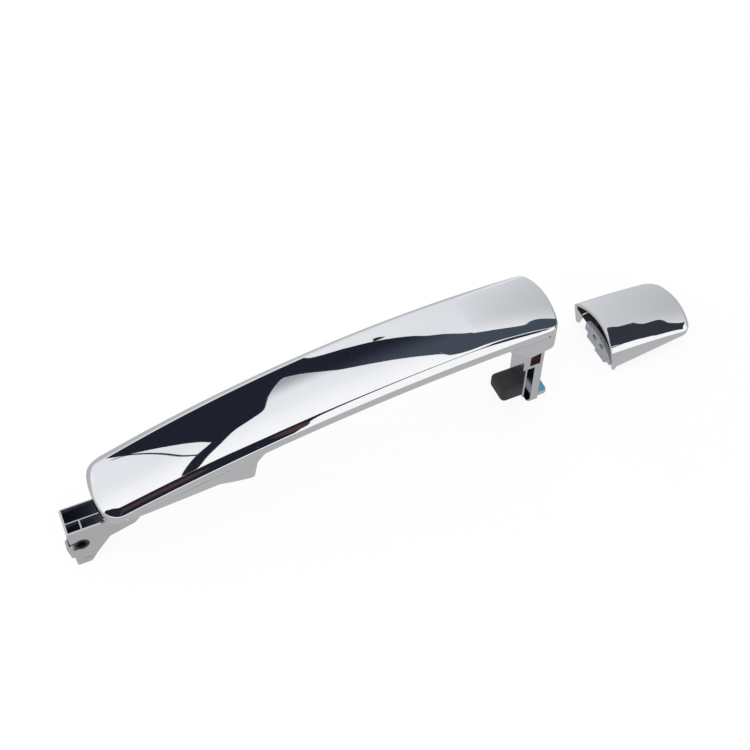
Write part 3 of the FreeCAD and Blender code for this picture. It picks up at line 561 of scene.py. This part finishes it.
def cap_outline():
    """Open plan outline of the cap, from the near front corner round the tail to the far one."""
    near_tail = turned_end(cap_rear, 1, cap_half, tail_bow, near_corner, 14)
    far_tail = turned_end(cap_rear, 1, cap_half, tail_bow, far_corner, 18)
    sides = []
    for tail in (near_tail, far_tail):
        run = tail[0][0].x - cap_front
        steps = [0.0, 0.5, 1.1, 1.77, 2.27, 3.2, 4.6, 6.3, 8.2, 10.0, lean_zone]
        steps += [lean_zone + (run - lean_zone) * n / 24 for n in range(1, 24)]
        side = [(Vector((cap_front + step, -cap_half)), Vector((0.0, -1.0))) for step in steps]
        sides.append(side + tail)
    far = [(Vector((p.x, -p.y)), Vector((w.x, -w.y))) for p, w in reversed(sides[1])]
    return sides[0] + [(Vector((cap_rear, 0.0)), Vector((1.0, 0.0)))] + far


cap_rings = []
for point, way in cap_outline():
    x = point.x
    crease = point - way * cap_bevel
    crease_z = cap_face(crease.x, crease.y)
    edge_z = crease_z - cap_bevel * bevel_slope
    foot_z = cap_foot(x)
    start = point - way * cap_run_in
    centre = Vector((min(x, cap_rear - tail_inset), 0.0))
    profile = rounded([(0, foot_z), (0, edge_z), (cap_bevel, crease_z),
                       (cap_run_in, cap_face(start.x, start.y))], (0.5, 0.4), 4)
    outer = [(point, foot_z + lip)] + [(point - way * d, z) for d, z in profile[1:-1]]
    for k in range(crown_steps + 1):
        place = start.lerp(centre, k / crown_steps)
        outer.append((place, cap_face(place.x, place.y)))
    inner = []
    for place, z in outer:
        depth = (point - place).dot(way)
        moved = place - way * max(0.0, cap_wall - depth) if depth < cap_wall + 2 else place
        roof = cap_face(moved.x, moved.y) - cap_wall
        inner.append((moved, min(max(z, foot_z + lip), roof)))
    foot = [(point - way * (cap_wall - lip), foot_z), (point - way * lip, foot_z)]
    cap_rings.append([cap_place(spot, z) for spot, z in inner[::-1] + foot + outer])

cap_size = len(cap_rings[0])
cap_verts = [place for ring in cap_rings for place in ring]
cap_faces = []
for n in range(len(cap_rings) - 1):
    for k in range(cap_size - 1):
        cap_faces.append((n * cap_size + k, (n + 1) * cap_size + k,
                          (n + 1) * cap_size + k + 1, n * cap_size + k + 1))
for n in (0, len(cap_rings) - 1):
    for k in range(cap_size // 2 - 1):
        a, b = n * cap_size + k, n * cap_size + k + 1
        c, d = n * cap_size + cap_size - 2 - k, n * cap_size + cap_size - 1 - k
        cap_faces.append((a, b, c, d))
cap_skin = mesh_object("cap_shell_skin", cap_verts, cap_faces, polished, 2e-6)
rim = cap_skin.modifiers.new("rim", "BEVEL")
rim.width = 0.45 * MM
rim.segments = 3
rim.limit_method = "ANGLE"
rim.angle_limit = math.radians(60)
rim.harden_normals = True
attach(cap_skin, "cap")
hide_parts("cap_shell")

# ---- cap carrier and what it holds --------------------------------------------------------
# Grey glass-filled plastic, moulded; a brass insert, a spring clip and a felt pad sit in it.

grey_carrier = moulded("grey_carrier", (0.52, 0.545, 0.58), (0.44, 0.465, 0.50), 0.3, 0.48,
                       1300.0, 0.00002)
frame_low, frame_high = (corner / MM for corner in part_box("cap_frame"))
# painted shade darkens the carrier behind its front wall, down in the hollow of the cap
paint_recess_shade(grey_carrier, (frame_low.x + 2.15, frame_low.y - 1.0, frame_low.z + 2.6),
            (frame_high.x + 1.0, frame_high.y + 1.0, frame_high.z + 1.0), (0.07, 0.062, 0.06))
finish_node("cap_frame", grey_carrier, 0.15)
brass = chrome("turned_brass", (0.74, 0.56, 0.27), 0.2, 0.34, 1500.0, 0.000004, 0.1)
finish_node("cap_insert", brass, 0.0)
spring_steel = chrome("spring_steel", (0.5, 0.5, 0.52), 0.18, 0.3, 1800.0, 0.000004, 0.1)
finish_node("cap_clip", spring_steel, 0.0)
felt = moulded("black_felt", (0.03, 0.03, 0.032), (0.016, 0.016, 0.018), 0.9, 1.0,
               4200.0, 0.0003, 0.1)
finish_node("cap_pad", felt, 0.0)

# ---- studio -------------------------------------------------------------------------------
# White floor, an even white tent of light, and the black and grey flags that a bright part
# needs round it, so that its curves can be read. The flags show only in reflections.

box_low, box_high = (corner / MM for corner in cad_box)
studio_middle = Vector((125.0, 0.0, 20.0))
tent_radius, inner_radius, cord_radius, veil_radius = 2500.0, 2480.0, 2460.0, 2530.0
longest_edge = 0.06


def emitter(name):
    """New material that only shines; returns it with its node tree, light and position."""
    material = bpy.data.materials.new(name)
    material.use_nodes = True
    nodes, links = material.node_tree.nodes, material.node_tree.links
    nodes.clear()
    light = nodes.new("ShaderNodeEmission")
    links.new(light.outputs["Emission"], nodes.new("ShaderNodeOutputMaterial").inputs["Surface"])
    split = nodes.new("ShaderNodeSeparateXYZ")
    links.new(nodes.new("ShaderNodeTexCoord").outputs["Object"], split.inputs["Vector"])
    return material, nodes, links, light, split


def smooth_corners(corners, steps=6):
    """Closed smooth curve through the corners."""
    curve = []
    count = len(corners)
    for n in range(count):
        p0, p1, p2, p3 = (Vector(corners[(n + k - 1) % count]) for k in range(4))
        for k in range(steps):
            t = k / steps
            curve.append(0.5 * (2 * p1 + (p2 - p0) * t + (2 * p0 - 5 * p1 + 4 * p2 - p3) * t * t
                                + (3 * p1 - p0 - 3 * p2 + p3) * t * t * t))
    return curve


def flag(name, corners, material, radius=tent_radius, eye=studio_middle, share=1.0):
    """Card hung inside the tent, as large as it looks from the eye. Its corners are given on
    the tent's flat pattern: the zenith at (0, 0) and the horizon at 1. With a share under 1
    it hangs that much nearer to the eye."""
    line = smooth_corners(corners)
    flat = [Vector((p.x, p.y, 0.0)) for p in line]
    bm = bmesh.new()
    spots = [bm.verts.new(p) for p in flat]
    for a, b, c in geometry.tessellate_polygon([flat]):
        bm.faces.new((spots[a], spots[b], spots[c]))
    for turn in range(5):
        long_edges = [e for e in bm.edges if e.calc_length() > longest_edge]
        if long_edges:
            bmesh.ops.subdivide_edges(bm, edges=long_edges, cuts=1)
            bmesh.ops.triangulate(bm, faces=bm.faces)
    for vertex in bm.verts:
        x, y = vertex.co.x, vertex.co.y
        reach = x ** 2 + y ** 2
        way = Vector((2 * x, 2 * y, 1 - reach)) / (1 + reach)
        vertex.co = eye.lerp(studio_middle + way * radius, share) * MM
    mesh = bpy.data.meshes.new(name)
    bm.to_mesh(mesh)
    bm.free()
    mesh.materials.append(material)
    obj = bpy.data.objects.new(name, mesh)
    bpy.context.scene.collection.objects.link(obj)
    obj.visible_camera = False
    obj.visible_shadow = False
    return obj


# black cloth of the flags, paler where light from the window side falls on it
dark_cloth, nodes, links, light, split = emitter("dark_cloth")
lit_share = times(nodes, links, ramp(nodes, links, split.outputs["Y"], -0.2, 1.7, 1.0, 0.0),
                  times(nodes, links, ramp(nodes, links, split.outputs["X"], -0.3, 0.3),
                        ramp(nodes, links, split.outputs["Y"], -1.8, -1.4)))
links.new(blend(nodes, links, lit_share, (0.016, 0.019, 0.031), (0.064, 0.08, 0.108)),
          light.inputs["Color"])

brown_cloth, nodes, links, light, split = emitter("brown_cloth")
light.inputs["Color"].default_value = (0.085, 0.045, 0.043, 1)

cap_cloth, nodes, links, light, split = emitter("cap_cloth")
light.inputs["Color"].default_value = (0.036, 0.041, 0.055, 1)

# grey veil behind the gap between the flags, fading out downwards
grey_veil, nodes, links, light, split = emitter("grey_veil")
links.new(blend(nodes, links, ramp(nodes, links, split.outputs["Y"], 0.9, 2.1), (0.88, 0.9, 0.92),
                (0.40, 0.42, 0.45)), light.inputs["Color"])

# wide flag behind the handle, whose edge turns round to the left
flag("flag_rear", [
    (-0.27, 1.5), (-0.265, 1.2), (-0.256, 0.9), (-0.246, 0.7), (-0.226, 0.5), (-0.2, 0.3),
    (-0.171, 0.1), (-0.161, 0.01), (-0.16, -0.02), (-0.18, -0.1), (-0.196, -0.2),
    (-0.208, -0.32), (-0.188, -0.32), (-0.17, -0.2), (-0.15, -0.1), (-0.13, 0.0),
    (-0.108, 0.05), (-0.09, 0.1), (-0.08, 0.2), (-0.07, 0.3), (-0.056, 0.4), (-0.042, 0.48),
    (-0.025, 0.555), (0.0, 0.57), (0.03, 0.65), (0.068, 0.66), (0.062, 0.75), (0.065, 0.85),
    (0.08, 0.95), (0.095, 1.05), (0.085, 1.15), (0.06, 1.3), (0.06, 1.5)
], dark_cloth)
# flag overhead, with its lower end over the rear of the handle
flag("flag_top", [
    (-0.035, 0.66), (-0.022, 0.56), (-0.012, 0.45), (-0.005, 0.35), (0.003, 0.27), (0.013, 0.2),
    (0.04, 0.1), (0.07, 0.0), (0.10, -0.1), (0.125, -0.18), (0.143, -0.25), (0.18, -0.285),
    (0.24, -0.225), (0.285, -0.165), (0.33, -0.12), (0.36, -0.08), (0.35, -0.03), (0.32, 0.0),
    (0.30, -0.02), (0.285, -0.06), (0.26, -0.068), (0.22, -0.055), (0.19, -0.04),
    (0.165, -0.03), (0.148, 0.02), (0.13, 0.12), (0.115, 0.2), (0.107, 0.3), (0.098, 0.4),
    (0.09, 0.5), (0.078, 0.6), (0.068, 0.68), (0.03, 0.70)
], dark_cloth, inner_radius)
# clip on the edge of the overhead flag
flag("flag_notch", [
    (0.09, 0.50), (0.097, 0.55), (0.101, 0.576), (0.106, 0.578), (0.1075, 0.56), (0.1065, 0.53),
    (0.104, 0.50)
], dark_cloth, inner_radius)
# small flag near the cap, which the grip does not see
cap_eye, cap_nearness = Vector((258.0, 10.0, -5.0)), 0.15
flag("flag_cap", [
    (0.272, 0.12), (0.259, 0.03), (0.252, -0.06), (0.248, -0.17), (0.272, -0.19), (0.30, -0.29),
    (0.33, -0.32), (0.375, -0.46), (0.425, -0.54), (0.48, -0.54), (0.54, -0.54), (0.56, -0.40),
    (0.50, -0.2), (0.46, -0.06), (0.437, -0.05), (0.422, -0.05), (0.40, -0.02), (0.394, 0.02),
    (0.384, 0.048), (0.365, 0.046), (0.347, 0.042), (0.334, 0.068), (0.328, 0.094),
    (0.318, 0.094), (0.30, 0.096)
], cap_cloth, tent_radius, cap_eye, cap_nearness)
# long flag low in front, with a turned-up end
flag("flag_front", [
    (-0.36, -0.345), (-0.25, -0.35), (-0.16, -0.34), (-0.125, -0.40), (-0.08, -0.45),
    (-0.02, -0.47), (0.05, -0.51), (0.14, -0.53), (0.22, -0.525), (0.222, -0.35), (0.25, -0.24),
    (0.31, -0.2), (0.315, -0.5), (0.31, -0.545), (0.2, -0.565), (0.1, -0.58), (0.02, -0.59),
    (-0.012, -0.60), (-0.04, -0.645), (-0.1, -0.67), (-0.3, -0.67), (-0.45, -0.62),
    (-0.6, -0.53), (-0.78, -0.37), (-0.8, -0.30), (-0.72, -0.29), (-0.6, -0.35), (-0.48, -0.37)
], dark_cloth)
# two strips of brown cloth on the front flag
flag("brown_one", [
    (-0.33, -0.59), (-0.26, -0.586), (-0.2, -0.592), (-0.165, -0.605), (-0.2, -0.617),
    (-0.27, -0.607), (-0.33, -0.61)
], brown_cloth, inner_radius)
flag("brown_two", [
    (-0.075, -0.60), (-0.04, -0.597), (-0.018, -0.605), (-0.022, -0.63), (-0.05, -0.625)
], brown_cloth, inner_radius)
# cord that hangs across the left end
flag("cord", [
    (-0.258, 0.72), (-0.241, 0.6), (-0.226, 0.4), (-0.211, 0.2), (-0.196, 0.0), (-0.176, -0.14),
    (-0.172, -0.14), (-0.192, 0.0), (-0.207, 0.2), (-0.222, 0.4), (-0.237, 0.6), (-0.253, 0.72)
], dark_cloth, cord_radius)
# grey veil in the gap
flag("veil", [
    (-0.12, 0.22), (-0.03, 0.22), (0.05, 0.22), (0.06, 0.4), (0.06, 0.62), (0.0, 0.64),
    (-0.06, 0.62), (-0.09, 0.4)
], grey_veil, veil_radius)

# the tent: pale grey to the right, white in front and to the left
world = bpy.data.worlds.new("tent")
bpy.context.scene.world = world
world.use_nodes = True
nodes, links = world.node_tree.nodes, world.node_tree.links
tent = nodes["Background"]
split = nodes.new("ShaderNodeSeparateXYZ")
links.new(nodes.new("ShaderNodeTexCoord").outputs["Generated"], split.inputs["Vector"])
across = blend(nodes, links, ramp(nodes, links, split.outputs["X"], 0.1, 0.85), (0.90, 0.92, 0.945),
               (0.50, 0.51, 0.53))
near = blend(nodes, links, ramp(nodes, links, split.outputs["Y"], 0.35, -0.55), across,
             (1.1, 1.1, 1.1))
left = times(nodes, links, ramp(nodes, links, split.outputs["X"], -0.35, -0.75, 0.0, 1.0),
             ramp(nodes, links, split.outputs["Y"], 0.5, 0.9, 0.0, 1.0))
links.new(blend(nodes, links, left, near, (1.02, 1.03, 1.05)), tent.inputs["Color"])
tent.inputs["Strength"].default_value = 1.0

# white paper under the handle, evenly lit; the bright parts see a painted grey in it instead,
# darker near and in front of the handle, as painted shade
floor_material = bpy.data.materials.new("white_floor")
floor_material.use_nodes = True
nodes, links = floor_material.node_tree.nodes, floor_material.node_tree.links
nodes.clear()
paper = nodes.new("ShaderNodeBsdfDiffuse")
paper.inputs["Color"].default_value = (0.9, 0.9, 0.9, 1)
lit = nodes.new("ShaderNodeEmission")
lit.inputs["Color"].default_value = (1, 1, 1, 1)
lit.inputs["Strength"].default_value = 1.1
split = nodes.new("ShaderNodeSeparateXYZ")
links.new(nodes.new("ShaderNodeTexCoord").outputs["Object"], split.inputs["Vector"])
# painted shade that only glossy rays see: grey in front of and under the handle, paler far behind
# it
seen = nodes.new("ShaderNodeEmission")
links.new(blend(nodes, links, ramp(nodes, links, split.outputs["Y"], 0.1, 0.7), (0.5, 0.5, 0.505),
                (0.85, 0.86, 0.88)), seen.inputs["Color"])
path = nodes.new("ShaderNodeLightPath")
pale = nodes.new("ShaderNodeMixShader")
pale.inputs["Fac"].default_value = 0.8
links.new(paper.outputs["BSDF"], pale.inputs[1])
links.new(lit.outputs["Emission"], pale.inputs[2])
sight = nodes.new("ShaderNodeMixShader")
links.new(path.outputs["Is Camera Ray"], sight.inputs["Fac"])
links.new(paper.outputs["BSDF"], sight.inputs[1])
links.new(pale.outputs["Shader"], sight.inputs[2])
mirror = nodes.new("ShaderNodeMixShader")
links.new(path.outputs["Is Glossy Ray"], mirror.inputs["Fac"])
links.new(sight.outputs["Shader"], mirror.inputs[1])
links.new(seen.outputs["Emission"], mirror.inputs[2])
links.new(mirror.outputs["Shader"], nodes.new("ShaderNodeOutputMaterial").inputs["Surface"])

floor_z = box_low.z - 0.05
reach = 12000.0
corners = [(side * reach, end * reach, floor_z)
           for side, end in ((-1, -1), (1, -1), (1, 1), (-1, 1))]
floor = mesh_object("floor", corners, [(0, 1, 2, 3)], floor_material)

# ---- camera -------------------------------------------------------------------------------
# A long lens looks down on the handle from the front left.

aim_offset = Vector((-11.1, -4.5, 13.83))
distance = 453.2
target = (box_low + box_high) / 2 + aim_offset
azimuth, elevation = math.radians(-23.9), math.radians(51.0)
back = Vector((math.sin(azimuth) * math.cos(elevation), -math.cos(azimuth) * math.cos(elevation),
               math.sin(elevation)))
camera = bpy.data.objects.new("camera", bpy.data.cameras.new("camera"))
bpy.context.scene.collection.objects.link(camera)
camera.location = (target + back * distance) * MM
camera.rotation_mode = "QUATERNION"
camera.rotation_quaternion = (-back).to_track_quat("-Z", "Y")
camera.data.lens = 55.73
camera.data.sensor_width = 36.0
camera.data.clip_start = 0.01
camera.data.clip_end = 20.0
bpy.context.scene.camera = camera
bpy.context.scene.view_settings.view_transform = "Standard"
